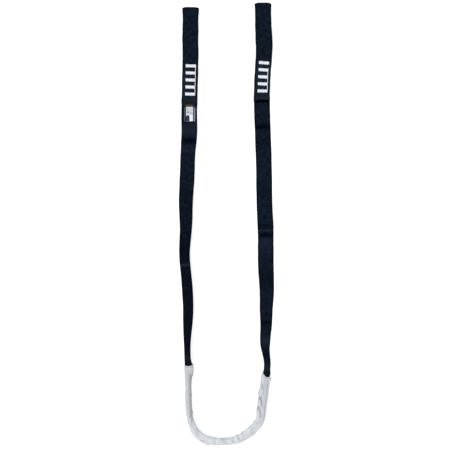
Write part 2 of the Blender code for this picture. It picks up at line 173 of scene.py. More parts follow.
# (place round it, how far the rim reaches out there)
LEFT_RIM = [
    (0.0, 0.3), (0.22, 0.2), (0.45, 0.4), (0.70, 0.6), (0.88, 0.6), (0.97, 1.3), (1.08, 3.6), (1.25, 4.2),
    (1.6, 3.4), (2.0, 0.3),
]
RIGHT_RIM = [
    (0.0, -2.6), (0.25, -2.2), (0.45, -1.5), (0.63, -1.7), (0.83, -0.9), (0.96, 1.4), (1.05, 6.0),
    (1.2, 7.6), (1.6, 5.0), (2.0, -2.6),
]
MOUTH_FLARES = (2.2, 1.5)  # how far the left leg's raised edge and the right leg's lower edge splay
MOUTH_FLARE_RUNS = (7.0, 4.5)
MOUTH_FLARE_OUTSIDE = 2.0  # of the sleeve's mouth, where they splay the most
HEM = 5.5
HEM_EXTRA = 0.35  # how much thicker the folded hem is
HEM_GROOVE = 0.30  # how deep its stitching sinks
# where a line of painted shade runs, from each mouth
HEM_LINE_AT = 2.2
HEM_STITCH_AT = 4.6
SEAM_AT = 8.5  # from the lower edge, measured round the outside
SEWING_PITCH = 3.2
SEWING_LENGTH = 2.5
SEWING_RADIUS = 0.24
SEWING_RISE = 0.12  # off the cloth
SEWING_LOWEST = 0.6  # no hem stitches show where the sleeve lies on the table

# Where the webbing divides
NECK_INSIDE = 32.0
CORE_GAP = 15.0
SWING_BLEND = (9.0, 58.0)  # from the sleeve's mouth

# Looks
WEB_YARN = 0.7  # the pitch of the webbing's yarns
SLEEVE_YARN = 0.55
LABEL_RIB = 0.5
LAP_SHADE = (-2.3, 3.5)  # the dark stretch of the right leg, from the lap end that shades it
LEG_SHADE = (220.0, 440.0)  # along the left leg, which turns from the light here
LEFT_ARM_SHADE = (68.0, 104.0)  # from the left mouth: where the sleeve's shaded arm ends
RIGHT_ARM_SHADE = (72.0, 54.0)  # from the right mouth: where the other one starts
# (distance along, half width, how much painted shade darkens the webbing there, or painted highlight
# lightens it where negative)
CREASE_SHADING = [
    (194.0, 10.0, -0.30), (212.5, 4.4, 0.95), (226.0, 6.0, -0.15), (297.0, 5.0, 0.25),
    (388.0, 13.0, 0.40), (410.6, 1.9, -0.50), (560.0, 8.0, -0.25), (882.0, 7.0, -0.35),
    (904.0, 6.5, 0.55), (925.5, 8.0, -0.35), (953.8, 4.0, 0.75), (1024.0, 14.0, 0.40),
    (1080.5, 11.0, -0.22), (1093.0, 3.6, 1.00), (1100.6, 1.8, -0.34), (1107.0, 4.0, 0.50),
    (1161.0, 6.0, 0.25), (1241.0, 7.0, 0.30), (1266.0, 4.4, 1.00),
]
SEWN_FROM = 95.0  # along the upper ply from an eye's tip; from here on the stitches pull it taut
HALF_WAY = 732.0  # the distance along to the middle of the sling

# Stage
CAMERA = (-0.0024, -0.0006, 2.0)
FLOOR_REACH = 30.0
FLOOR_GLOW = 0.62
WORLD_LIGHT = 1.25
KEY_LIGHT = 35
KEY_SIZE = 1.2
KEY_PLACE = (-0.6, -0.4, 2.5)


def srgb(*levels):
    """A display colour (red, green and blue, 0 to 255) as linear values."""
    return tuple((c / 255 / 12.92) if c <= 10 else ((c / 255 + 0.055) / 1.055) ** 2.4 for c in levels)


# Curves and the route


def natural_cubic(knots, values, at):
    """A smooth curve through values at knots, read at at."""
    step = np.diff(knots)
    rise = np.diff(values) / step
    count = len(knots)
    matrix, right = np.eye(count), np.zeros(count)
    for i in range(1, count - 1):
        matrix[i, i - 1 : i + 2] = step[i - 1], 2 * (step[i - 1] + step[i]), step[i]
        right[i] = 6 * (rise[i] - rise[i - 1])
    bend = np.linalg.solve(matrix, right)
    i = np.clip(np.searchsorted(knots, at) - 1, 0, count - 2)
    u, h = at - knots[i], step[i]
    slope = rise[i] - h * (2 * bend[i] + bend[i + 1]) / 6
    return values[i] + u * (slope + u * (bend[i] / 2 + u * (bend[i + 1] - bend[i]) / (6 * h)))


def eased(knots, values, at):
    """Values that ease from knot to knot and never pass beyond them."""
    knots, values, at = (np.asarray(x, float) for x in (knots, values, at))
    step = np.diff(knots)
    rise = np.diff(values) / step
    slope = np.zeros(len(knots))
    for i in range(1, len(knots) - 1):
        if rise[i - 1] * rise[i] > 0:
            slope[i] = 2 * rise[i - 1] * rise[i] / (rise[i - 1] + rise[i])
    i = np.clip(np.searchsorted(knots, at) - 1, 0, len(knots) - 2)
    h = step[i]
    t = np.clip((at - knots[i]) / h, 0, 1)
    start = values[i] * (1 + 2 * t) * (1 - t) ** 2 + h * slope[i] * t * (1 - t) ** 2
    end = values[i + 1] * t**2 * (3 - 2 * t) + h * slope[i + 1] * t**2 * (t - 1)
    return start + end


def ramp(x):
    """0 below 0, 1 above 1, smooth between."""
    x = np.clip(x, 0, 1)
    return x * x * (3 - 2 * x)


def hump(distance, run, power=2):
    """1 at distance 0, fading to nothing beyond run."""
    return np.exp(-((distance / run) ** power))


def running(points):
    """The distance along a line of points to each of them."""
    return np.concatenate([[0], np.cumsum(np.linalg.norm(np.diff(points, axis=0), axis=1))])


def column(values):
    return np.asarray(values, float)[:, None]


def unit(vectors):
    return vectors / np.linalg.norm(vectors, axis=-1, keepdims=True)


class Route:
    """The sling's line in plan, how the webbing leans and how high it lies. All of it takes arrays."""

    def __init__(self):
        points = np.array(ROUTE, float)
        points[:, :2] -= BOX_MIDDLE
        chord = running(points[:, :2])
        fine = np.linspace(0, chord[-1], 6001)
        self.x, self.y = (natural_cubic(chord, points[:, k], fine) for k in (0, 1))
        self.along = running(np.stack([self.x, self.y], -1))
        self.length = self.along[-1]
        self.lean = np.radians(eased(chord, points[:, 2], fine))
        self.turn = self.along[np.argmin(self.y)]
        self.mouths = self.at_y("left", LEFT_MOUTH_Y), self.at_y("right", RIGHT_MOUTH_Y)

    def at_y(self, side, y):
        leg = self.along < self.turn if side == "left" else self.along >= self.turn
        order = np.argsort(self.y[leg])
        return float(np.interp(y, self.y[leg][order], self.along[leg][order]))

    def depth(self, side, distance):
        return distance if side == "left" else self.length - distance

    def sleeve_share(self, along):
        start, end = self.mouths
        return (along - start) / (end - start)

    def plan(self, along):
        x, y = np.interp(along, self.along, self.x), np.interp(along, self.along, self.y)
        return np.stack([x, y, np.zeros_like(x)], -1)

    def heading(self, along):
        return unit(self.plan(along + 0.5) - self.plan(along - 0.5))

    def inward(self, along):
        return np.cross(UP, self.heading(along))

    def lean_at(self, along):
        return np.interp(along, self.along, self.lean)

    def across(self, along):
        lean = column(self.lean_at(along))
        return np.cos(lean) * self.inward(along) + np.sin(lean) * UP

    def face(self, along):
        lean = column(self.lean_at(along))
        return np.cos(lean) * UP - np.sin(lean) * self.inward(along)

    def lift(self, along):
        total = np.zeros_like(along)
        low, high = TACK_LIFT_DEPTHS
        for eye in (LEFT, RIGHT):
            depth = along if eye["side"] == "left" else self.length - along
            falling = ramp((eye["lap_end"] + TACK_LIFT_FALL - depth) / TACK_LIFT_FALL)
            total += TACK_LIFT * ramp((depth - low) / (high - low)) * falling
        start, end = self.mouths
        outside = np.maximum(np.maximum(start - along, along - end), 0)
        total += SLEEVE_LIFT * (1 - ramp(outside / LIFT_RAMP))
        for side, y, reach, height in CRESTS:
            off = np.minimum(np.abs(along - self.at_y(side, y)) / reach, 1)
            total += height * (1 + np.cos(np.pi * off)) / 2
        return total

    def centre(self, along):
        lean = self.lean_at(along)
        height = WEB_WIDTH / 2 * np.sin(lean) + WEB_THICKNESS / 2 * np.cos(lean)
        return self.plan(along) + column(height + self.lift(along)) * UP


# Meshes


def mesh_object(name, points, faces, material, uvs=None):
    """points are in millimetres. uvs hold one pair for each corner of each face, in millimetres."""
    mesh = bpy.data.meshes.new(name)
    mesh.from_pydata((np.asarray(points) * MM).tolist(), [], [list(map(int, f)) for f in faces])
    mesh.materials.append(material)
    if uvs is not None:
        layer = mesh.uv_layers.new(name="UVMap")
        layer.data.foreach_set("uv", (np.asarray(uvs, np.float32) * MM).ravel())
    mesh.validate()
    mesh.shade_smooth()
    mesh.set_sharp_from_angle(angle=math.radians(50))
    made = bpy.data.objects.new(name, mesh)
    bpy.context.scene.collection.objects.link(made)
    return made


def tube_faces(rings, count, first=0):
    """Quads round a tube of rings, and its two end faces."""
    i, j = np.meshgrid(np.arange(rings - 1), np.arange(count), indexing="ij")
    k = (j + 1) % count
    quads = np.stack([i * count + j, i * count + k, (i + 1) * count + k, (i + 1) * count + j], -1)
    quads = (quads.reshape(-1, 4) + first).tolist()
    start = [first + n for n in range(count)][::-1]
    end = [first + (rings - 1) * count + n for n in range(count)]
    return quads, [start, end]


def closed(around):
    """around with one more value, for the way back to the first point."""
    return np.append(around, 2 * around[-1] - around[-2])


def quad_uvs(around, along):
    """UV pairs for each corner of the quads of a tube."""
    u = closed(around)
    i, j = np.meshgrid(np.arange(len(along) - 1), np.arange(len(around)), indexing="ij")
    corners = [(i, j), (i, j + 1), (i + 1, j + 1), (i + 1, j)]
    return np.stack([np.stack([u[b], along[a]], -1) for a, b in corners], 2)


def swept(name, points, around, along, material):
    """A closed strip from points[ring, place], with around and along as the two parts of its UV map."""
    rings, count = points.shape[:2]
    quads, ends = tube_faces(rings, count)
    uvs = quad_uvs(around, along).reshape(-1, 2)
    end_uvs = np.concatenate([
        np.stack([around[::-1], np.full(count, along[0])], -1),
        np.stack([around, np.full(count, along[-1])], -1),
    ])
    uvs = np.concatenate([uvs, end_uvs])
    return mesh_object(name, points.reshape(-1, 3), quads + ends, material, uvs)


def carry_values(made, name, values):
    """Stores a number at each point of a mesh, for its material."""
    layer = made.data.attributes.new(name, "FLOAT", "POINT")
    layer.data.foreach_set("value", values.astype(np.float32))


def thread_tubes(name, paths, radius, material):
    """Round threads, one closed tube for each path of points, with pinched ends."""
    points, faces = [], []
    angles = np.linspace(0, 2 * np.pi, THREAD_SIDES, endpoint=False)
    for path in paths:
        path = np.asarray(path, float)
        ahead = unit(np.gradient(path, axis=0))
        reference = UP if abs(ahead[:, 2]).max() < 0.95 else np.array([0.0, 1.0, 0.0])  # never along it
        side = unit(np.cross(ahead, reference))
        top = np.cross(side, ahead)
        size = np.full(len(path), radius)
        size[[0, -1]] *= THREAD_PINCH
        wide, high = np.cos(angles)[None, :, None], np.sin(angles)[None, :, None]
        ring = wide * side[:, None] + high * top[:, None]
        quads, ends = tube_faces(len(path), THREAD_SIDES, first=len(points))
        faces += quads + ends
        points += (path[:, None] + size[:, None, None] * ring).reshape(-1, 3).tolist()
    return mesh_object(name, points, faces, material)


# Webbing


def web_outline():
    """(across, out) arrays for the points of the webbing's section."""
    half = WEB_WIDTH / 2 - SELVEDGE
    flat = np.linspace(half, -half, WALES * WALE_POINTS + 1)
    turn = np.linspace(0, np.pi, SELVEDGE_POINTS + 2)[1:-1]
    thick = WEB_THICKNESS / 2
    edge_a, edge_b = SELVEDGE * np.sin(turn), thick * np.cos(turn)
    across = np.concatenate([flat, -half - edge_a, -flat, half + edge_a])
    out = np.concatenate([np.full(len(flat), thick), edge_b, np.full(len(flat), -thick), -edge_b])
    return across, out


WEB_ACROSS, WEB_OUT = web_outline()
WEB_AROUND = running(np.stack([WEB_ACROSS, WEB_OUT], -1))
PERIMETER = float(WEB_AROUND[-1] + math.hypot(WEB_ACROSS[0] - WEB_ACROSS[-1], WEB_OUT[0] - WEB_OUT[-1]))


def woven(path):
    """(across, out) arrays for rings at path distances: cords that rise and fall, and ribbed edges."""
    half = WEB_WIDTH / 2 - SELVEDGE
    place = (WEB_ACROSS + half) / (2 * half) * WALES
    on_face = np.abs(WEB_ACROSS) <= half + 1e-6
    cord = np.abs(np.sin(np.pi * place)) ** 0.6
    number = np.clip(np.floor(place), 0, WALES - 1)
    floats = 0.6 + 0.4 * np.cos(2 * np.pi * (column(path) / FLOAT_LENGTH + number / 2))
    raised = np.where(on_face, WALE_DEPTH * (cord * floats - 0.55), 0)
    rib = np.where(on_face, 0, 0.03 * np.cos(2 * np.pi * column(path) / SELVEDGE_RIB))
    out = WEB_OUT + np.sign(WEB_OUT) * raised
    across = WEB_ACROSS + np.sign(WEB_ACROSS) * rib * SELVEDGE
    return across, out * (1 + rib)


def round_end(out, path, end):
    """Thins the strip towards a heat-sealed end at path distance end."""
    near = np.clip(np.abs(path - end) / END_ROUNDING, 0, 1)
    return out * column(0.35 + 0.65 * np.sqrt(1 - (1 - near) ** 2))


def edge_wave(path):
    """How far the two edges of the webbing wander from straight at path distances."""
    raised = np.sin(path / 5.3) * 0.6 + np.sin(path / 8.9 + 1.3) + np.sin(path / 3.1 + 0.4) * 0.3
    lower = np.sin(path / 6.1 + 2.0) * 0.6 + np.sin(path / 9.7 + 0.2) + np.sin(path / 3.4 + 1.1) * 0.3
    return raised, lower


def crease_shading(path, share):
    """How much painted shade darkens each point of a strip at its creases and waves, or painted highlight
    lightens it where negative; both are faint along its edges.
    """
    total = sum(depth * hump(path - at, width) for at, width, depth in CREASE_SHADING)
    return column(total) * (1 - 0.6 * share**4)


def web_strip(name, centre, across, out, path, material, widen, wave, moved, sealed=None):
    """Webbing along centre. widen and wave are arrays, for both edges of each ring. moved(a) returns
    how far each point is displaced, and sealed is the path distance of a cut end."""
    a, b = woven(path)
    raised, lower = edge_wave(path)
    share = np.abs(a) / (WEB_WIDTH / 2)
    wander = np.where(a > 0, column(raised), column(lower)) * column(wave)
    a = a + np.sign(a) * share * (column(widen) + wander)
    if sealed is not None:
        b = round_end(b, path, sealed)
    points = centre[:, None] + a[:, :, None] * across[:, None] + b[:, :, None] * out[:, None]
    strip = swept(name, points + moved(a), WEB_AROUND, path, material)
    # the painted shade and painted highlight of the creases and waves, for the material
    carry_values(strip, "crease_shade", crease_shading(path, np.minimum(share, 1)).ravel())
    return strip


def steps(start, end, step=RING_STEP):
    return np.linspace(start, end, max(2, math.ceil(abs(end - start) / step) + 1))


def lap_start(eye):
    """The depth at which the loose lap end begins to rise off the sewn plies."""
    return eye["first_tack"] + (TACKS - 1) * TACK_PITCH + TACK_WIDTH / 2 + LAP_LIFT_START


def upper_ply(eye, depth):
    """The height of the upper ply's middle over the lower ply's."""
    tip = LOOP_RADIUS + WEB_THICKNESS / 2
    closing = ramp((depth - tip) / (eye["first_tack"] - TACK_WIDTH - tip))
    sewn = WEB_THICKNESS + PLY_GAP
    lap = LAP_LIFT * ramp((depth - lap_start(eye)) / LAP_LIFT_RUN)
    return 2 * LOOP_RADIUS + (sewn - 2 * LOOP_RADIUS) * closing + lap


def build_eye_strap(route, eye, end, material):
    """From the lap end, over the upper ply, round the tip and along the lower ply to a depth of end."""
    tip = LOOP_RADIUS + WEB_THICKNESS / 2
    upper, lower = steps(eye["lap_end"], tip), steps(tip, end)
    turn = np.linspace(0, np.pi, math.ceil(np.pi * LOOP_RADIUS / RING_STEP))[1:-1]
    depth = np.concatenate([upper, tip - LOOP_RADIUS * np.sin(turn), lower])
    height = np.concatenate([upper_ply(eye, upper), LOOP_RADIUS * (1 + np.cos(turn)), np.zeros(len(lower))])
    round_tip = tip - LOOP_RADIUS * (np.pi - turn)
    path = np.concatenate([tip - np.pi * LOOP_RADIUS - (upper - tip), round_tip, lower])
    along = route.depth(eye["side"], depth)
    centre = route.centre(along) + column(height) * UP
    facing = -1 if eye["side"] == "left" else 1
    on_leg = column(np.concatenate([np.zeros(len(upper) + len(turn)), np.ones(len(lower))]))
    across = facing * (on_leg * route.across(along) + (1 - on_leg) * route.inward(along))
    out = unit(np.cross(np.gradient(centre, axis=0), across))
    path = path if eye["side"] == "left" else route.length - path
    tip_share = hump(depth, TIP_RUN)
    waist = hump(depth - WAIST[0], WAIST[1])
    corners = LAP_CORNERS[eye["side"]] * hump(path - path[0], LAP_END_RUN)
    askew = PLY_SPREAD[eye["side"]] * hump(depth - ASKEW[0], ASKEW[1], 4)
    at_end = ramp(1 - np.abs(path - path[0]) / LAP_END_RUN)
    single = ramp((depth - eye["lap_end"]) / 15.0)  # past the lap, where one ply runs on alone
    away = route.heading(along) * -facing
    travel = unit(np.gradient(centre, axis=0))

    def moved(a):
        share = np.clip(np.abs(a) / (WEB_WIDTH / 2), 0, 1)[:, :, None]
        hollow = at_end[:, None, None] * (1 - share**2)
        drawn = tip_share[:, None, None] * (TIP_ROUNDING * share**5 - TIP_REACH[eye["side"]])
        return hollow * (LAP_HOLLOW * travel + LAP_ARCH * out)[:, None] + drawn * away[:, None]

    return web_strip(
        f"{eye['side']}_eye_strap", centre, across, out, path, material,
        widen=EDGE_SPREAD + TIP_FLARE * tip_share - TIP_WAIST * waist + askew + corners,
        wave=EYE_WAVE + (LEG_WAVE - EYE_WAVE) * single, moved=moved, sealed=path[0],
    )


def build_strap(name, route, start, end, material):
    """A plain stretch of the webbing, whose edges splay just outside the sleeve's mouths."""
    along = steps(start, end)
    left, right = (
        flare * hump(along - mouth - outwards * MOUTH_FLARE_OUTSIDE, run)
        for flare, run, mouth, outwards in zip(MOUTH_FLARES, MOUTH_FLARE_RUNS, route.mouths, (-1, 1))
    )

    def moved(a):
        share = a / (WEB_WIDTH / 2)
        raised, lower = np.clip(share, 0, 1) ** 1.5, np.clip(-share, 0, 1) ** 1.5
        inwards = column(left) * raised - column(right) * lower
        return inwards[:, :, None] * route.inward(along)[:, None]

    return web_strip(
        name, route.centre(along), route.across(along), route.face(along), along, material,
        widen=np.full(len(along), EDGE_SPREAD), wave=np.full(len(along), LEG_WAVE), moved=moved,
    )


# Bar tacks


def tack_frame(route, eye, index):
    """(middle of the lower ply, width direction towards +X, direction towards the tip)."""
    along = np.array([route.depth(eye["side"], eye["first_tack"] + index * TACK_PITCH)])
    to_tip = route.heading(along)[0] * (-1 if eye["side"] == "left" else 1)
    across = np.cross(to_tip, UP)
    return route.centre(along)[0] + TACK_SHIFT * across, across, to_tip


def build_tack(route, eye, index, material, chance):
    """A bar tack: zigzag stitches side by side, on top of the plies and underneath."""
    middle, across, to_tip = tack_frame(route, eye, index)
    length = TACK_LENGTHS[index]
    count = round(length / STITCH_PITCH)
    low = -WEB_THICKNESS / 2
    high = WEB_THICKNESS * 1.5 + PLY_GAP
    places = np.linspace(-1, 1, 9)
    paths = []
    for surface, outward in ((high, 1), (low, -1)):
        for i in range(count):
            x = (i / (count - 1) - 0.5) * (length - 2 * STITCH_RADIUS - STITCH_SLANT)
            half = TACK_WIDTH / 2 * (1 + 0.05 * chance.standard_normal())
            slant = STITCH_SLANT / 2 * (1 if i % 2 else -1) * outward
            rise = STITCH_RISE * (1 + 0.10 * chance.standard_normal())
            height = surface + outward * (rise * (1 - places**6) - 0.35 * places**6)
            line = middle + column(places * half) * to_tip + column(x + slant * places) * across
            paths.append(line + column(height) * UP)
    return thread_tubes(f"{eye['side']}_tack_stitches_{index + 1}", paths, STITCH_RADIUS, material)


def build_carry(route, eye, first, material, chance):
    """The thread carried over the lap from tack to tack."""
    paths = []
    high = WEB_THICKNESS * 1.5 + PLY_GAP
    for index in range(first, TACKS - 1):
        start, across, _ = tack_frame(route, eye, index)
        end = tack_frame(route, eye, index + 1)[0]
        t = np.linspace(0, 1, 13)
        line = start + column(t) * (end - start)
        bow = 0.35 * np.sin(np.pi * t) * chance.uniform(-1, 1)
        side = CARRY_SHIFT - TACK_SHIFT + bow + 0.25 * (t - 0.5)
        edge = np.minimum(t, 1 - t) * TACK_PITCH
        on_tack = ramp(1 - (edge - 1.2) / 1.4)
        height = high + CARRY_RADIUS + 0.02 + on_tack * (STITCH_RISE + STITCH_RADIUS * 0.8)
        paths.append(line + column(side) * across + column(height) * UP)
    return thread_tubes(f"{eye['side']}_carry_line", paths, CARRY_RADIUS, material)


# Label


def build_label(route, material):
    start, end = LEFT["lap_end"] - LABEL_TAIL, LEFT["lap_end"] + LABEL_HINGE + LABEL_LENGTH
    along = steps(start, end, 0.6)
    across, out = route.across(along), route.face(along)
    half, thick = LABEL_WIDTH / 2, LABEL_THICKNESS / 2
    places = np.linspace(half, -half, LABEL_POINTS)
    a = np.concatenate([places, -places])
    b = np.repeat([thick, -thick], LABEL_POINTS)
    b[[0, LABEL_POINTS - 1, LABEL_POINTS, -1]] *= 0.5  # thinner along its edges
    free = ramp((along - LEFT["lap_end"]) / LABEL_LENGTH)
    curl = 0.55 * column(free) * (a / half) ** 2 + 0.5 * column(free**3)
    ripple = 0.12 * np.sin(column(along) / 3.4 + a / 5) * column(ramp((along - LEFT["lap_end"]) / 8))
    base = WEB_THICKNESS / 2 + PLY_GAP + LABEL_THICKNESS / 2 + 0.05
    height = base + b + curl + ripple
    near_end = np.clip((end - along) / 1.2, 0, 1)
    corner = 0.5 * (1 - np.sqrt(1 - (1 - near_end) ** 2))
    wide = a * (1 - column(corner) / half)
    points = route.centre(along)[:, None] + wide[:, :, None] * across[:, None]
    points = points + height[:, :, None] * out[:, None]
    return swept("label_print", points, a + LABEL_U, along - LEFT["lap_end"], material)


# The sleeve


def sleeve_outline(thickness):
    """Arrays round a flattened tube for each thickness: across, out, and the normal's across and out."""
    radius = column(thickness / 2)
    flat = SLEEVE_WIDTH / 2 - radius
    none = 0 * flat
    cap = np.linspace(-90, 90, CAP_POINTS + 1)
    run = np.linspace(1, -1, FLAT_POINTS + 1)[1:-1]
    parts = []
    for side, start in ((1, 0), (-1, 180)):
        angle = np.radians(cap + start)
        wide, high = np.cos(angle), np.sin(angle)
        parts.append((side * flat + radius * wide, radius * high, none + wide, none + high))
        straight = none + side * run
        level = 0 * straight
        parts.append((flat * straight, side * radius + level, level, side + level))
    return tuple(np.concatenate([part[k] for part in parts], 1) for k in range(4))


# Folds of the sleeve, as lines over it: (share along it, place round it) at both ends, half width,
# height. A place is 0 at the lower edge and 1 at the raised edge, and goes on to 2 round the other
# face. Negative heights are creases.
FOLDS = [
    # left arm
    ((0.050, 0.26), (0.250, 0.28), 5.0, 0.60),
    ((0.052, 0.98), (0.250, 0.97), 4.4, -1.15),
    ((0.058, 1.05), (0.075, 0.80), 1.8, -0.5),
    ((0.100, 0.78), (0.190, 0.92), 1.3, -0.3),
    # left bend
    ((0.256, 1.06), (0.272, 0.62), 1.5, -1.0),
    ((0.272, 0.98), (0.324, 0.86), 1.7, -1.1),
    ((0.266, 0.80), (0.300, 0.60), 1.8, 0.6),
    ((0.345, 0.98), (0.385, 0.80), 3.4, -0.65),
    ((0.325, 0.62), (0.370, 0.58), 2.2, 0.6),
    ((0.285, 0.26), (0.345, 0.22), 1.2, -0.7),
    ((0.345, 0.20), (0.400, 0.14), 1.2, -0.5),
    ((0.405, 0.30), (0.430, 0.75), 1.8, -0.5),
    # bottom
    ((0.430, 1.00), (0.480, 1.00), 0.9, -0.35),
    ((0.448, 0.90), (0.455, 0.50), 1.5, 0.6),
    ((0.463, 0.10), (0.466, 0.80), 1.3, 0.5),
    ((0.477, 0.90), (0.476, 0.40), 1.5, -0.3),
    ((0.490, 0.90), (0.490, 0.35), 1.4, 0.6),
    ((0.512, 0.99), (0.560, 0.98), 1.2, -0.6),
    ((0.522, 0.90), (0.538, 0.35), 2.6, -0.6),
    ((0.552, 0.90), (0.556, 0.60), 1.8, 0.7),
    ((0.578, 0.98), (0.572, 0.50), 1.3, -0.5),
    ((0.592, 0.90), (0.600, 0.45), 1.8, 0.5),
    ((0.610, 0.95), (0.606, 0.50), 1.3, -0.6),
    ((0.612, 0.36), (0.642, 0.30), 1.0, -1.0),
    ((0.624, 0.88), (0.634, 0.68), 1.8, 0.7),
    ((0.642, 0.98), (0.632, 0.62), 1.3, -0.6),
    ((0.668, 0.10), (0.682, 0.45), 1.2, -0.6),
    ((0.702, 0.95), (0.680, 0.40), 1.8, -0.3),
    ((0.722, 0.50), (0.732, 0.35), 2.0, 0.7),
    ((0.715, 0.10), (0.735, 0.30), 1.2, -0.6),
    ((0.745, 0.95), (0.755, 0.55), 1.6, -0.35),
    # right arm
    ((0.834, 1.00), (0.784, 0.76), 1.7, -1.35),
    ((0.838, 0.88), (0.800, 0.52), 1.8, 0.7),
    ((0.885, 1.00), (0.840, 0.78), 1.3, -1.5),
    ((0.898, 0.86), (0.858, 0.50), 1.8, 0.7),
    ((0.952, 0.98), (0.904, 0.76), 1.6, -0.8),
    ((0.940, 0.72), (0.900, 0.56), 2.0, 0.4),
    ((0.978, 0.84), (0.954, 0.60), 1.2, -0.4),
    ((0.990, 0.62), (0.930, 0.44), 1.6, -0.35),
    ((0.765, 0.30), (0.795, 0.33), 1.2, -1.2),
    ((0.800, 0.34), (0.870, 0.35), 1.0, -1.3),
    ((0.875, 0.35), (0.975, 0.38), 0.9, -1.0),
]
WRINKLES = 170  # short shallow ones, all over


def wrinkles():
    chance = np.random.default_rng(11)
    made = []
    for _ in range(WRINKLES):
        share, place = chance.uniform(0.0, 1.0), chance.uniform(0.0, 2.0)
        length, angle = chance.uniform(4.0, 13.0), math.radians(chance.uniform(25, 155))
        reach = (length * math.cos(angle) / SLEEVE_LENGTH, length * math.sin(angle) / SLEEVE_FACE)
        ends = (share, place), (share + reach[0], place + reach[1])
        made.append((*ends, chance.uniform(0.9, 1.8), chance.uniform(0.08, 0.30) * chance.choice([-1, 1])))
    return made


def fold_height(share, place, folds):
    """How far folds raise the sleeve's surface, at a share along it and a place round it."""
    total = np.zeros(np.broadcast(share, place).shape)
    for start, end, half_width, height in folds:
        p = np.array([start[0] * SLEEVE_LENGTH, start[1] * SLEEVE_FACE])
        line = np.array([end[0] * SLEEVE_LENGTH, end[1] * SLEEVE_FACE]) - p
        x, y = share * SLEEVE_LENGTH - p[0], place * SLEEVE_FACE - p[1]
        t = (x * line[0] + y * line[1]) / (line @ line)
        nearest = np.clip(t, 0, 1)
        off = np.hypot(x - nearest * line[0], y - nearest * line[1])
        total += height * hump(off, half_width)
    return total


def sleeve_section(route, along):
    """The outline at each ring, and the place round the sleeve of its points, for FOLDS and SPREAD."""
    shares, values = zip(*FULLNESS)
    outline = sleeve_outline(eased(shares, values, route.sleeve_share(along)))
    place = outline[0] / SLEEVE_WIDTH + 0.5
    return *outline, np.where(outline[1] < 0, 2 - place, place)


def sleeve_surface(route, along, inside=0.0):
    """Points[ring, place] of the sleeve's wall, inset by inside."""
    start, end = route.mouths
    share = route.sleeve_share(along)
    across, out, normal_a, normal_b, place = sleeve_section(route, along)
    shares, lower, raised = np.array(SPREAD).T
    at_lower = np.minimum(ramp(1 - place / 0.6) + ramp((place - 1.6) / 0.4), 1)
    at_raised = ramp(1 - np.abs(place - 1.08) / 0.35)
    spread = at_lower * column(eased(shares, lower, share))
    spread = spread + at_raised * column(eased(shares, raised, share))
    height = spread + fold_height(column(share), place, FOLDS + wrinkles())
    from_mouth = np.minimum(along - start, end - along)
    hem = HEM_EXTRA * (1 - ramp((from_mouth - HEM) / 0.9))
    groove = -HEM_GROOVE * hump(from_mouth - HEM_STITCH_AT, 0.55)
    rim = 0.35 * (ramp(from_mouth / 1.0) - 1)
    height = height + column(hem + groove + rim) - inside
    a, b = across + normal_a * height, out + normal_b * height
    centre, wide, face = route.centre(along), route.across(along), route.face(along)
    points = centre[:, None] + a[:, :, None] * wide[:, None] + b[:, :, None] * face[:, None]
    for mouth, sign, rim_line in ((start, -1, LEFT_RIM), (end, 1, RIGHT_RIM)):
        fade = column(ramp(1 - np.abs(along - mouth) / RIM_RUN))
        reach = eased(*zip(*rim_line), place)
        points = points + (sign * fade * reach)[:, :, None] * route.heading(along)[:, None]
    points[:, :, 2] = np.maximum(points[:, :, 2], 0.02 + inside)
    return points


def build_sleeve(route, material):
    """The sleeve's outer and inner face with a rim at each mouth. It carries its relief, from which its
    material paints shade into hollows and light onto ridges.
    """
    along = steps(*route.mouths, SLEEVE_STEP)
    outer = sleeve_surface(route, along)
    inner = sleeve_surface(route, along, inside=SLEEVE_WALL)
    rings, count = outer.shape[:2]
    inner_first = rings * count
    quads, _ = tube_faces(rings, count)
    inner_quads, _ = tube_faces(rings, count, first=inner_first)
    around = running(outer[rings // 2])
    u = closed(around)
    rims, rim_uvs = [], []
    for ring, turn in ((0, 1), (rings - 1, -1)):
        for j in range(count):
            here, beside = ring * count + j, ring * count + (j + 1) % count
            rims.append([beside, here, inner_first + here, inner_first + beside][::turn])
            pair = [(u[j + 1], along[ring]), (u[j], along[ring])]
            rim_uvs.append((pair + pair[::-1])[::turn])
    faces = quads + [face[::-1] for face in inner_quads] + rims
    uvs = quad_uvs(around, along)
    uvs = np.concatenate([part.reshape(-1, 2) for part in (uvs, uvs[:, :, ::-1], np.array(rim_uvs))])
    points = np.concatenate([outer.reshape(-1, 3), inner.reshape(-1, 3)])
    made = mesh_object("sleeve_fabric", points, faces, material, uvs)
    place = sleeve_section(route, along)[-1]
    relief = fold_height(column(route.sleeve_share(along)), place, FOLDS + wrinkles())
    from_mouth = np.minimum(along - route.mouths[0], route.mouths[1] - along)
    # with a line of painted shade just inside each mouth, along the hem
    relief = (relief - column(0.7 * hump(from_mouth - HEM_LINE_AT, 0.6))).ravel()
    carry_values(made, "relief", np.concatenate([relief, relief]))
    return made


def sewn_line(points):
    """Paths of stitches along a line of points on a surface, with short gaps between them."""
    run = running(points)
    paths = []
    for start in np.arange(0, run[-1] - SEWING_LENGTH, SEWING_PITCH):
        at = np.linspace(start, start + SEWING_LENGTH, 6)
        paths.append(np.stack([np.interp(at, run, points[:, k]) for k in range(3)], -1))
    return paths


def lifted(points, middles, rise):
    """Points moved away from middles by rise."""
    return points + unit(points - middles) * rise


def build_hem_stitches(route, side, material):
    start, end = route.mouths
    at = start + HEM_STITCH_AT if side == "left" else end - HEM_STITCH_AT
    along = np.array([at, at + 0.01])
    ring = sleeve_surface(route, along)[0]
    ring = np.concatenate([ring, ring[:1]])
    ring = lifted(ring, route.centre(along)[0], SEWING_RISE)
    paths = [path for path in sewn_line(ring) if path[:, 2].min() > SEWING_LOWEST]
    return thread_tubes(f"{side}_hem_stitches", paths, SEWING_RADIUS, material)


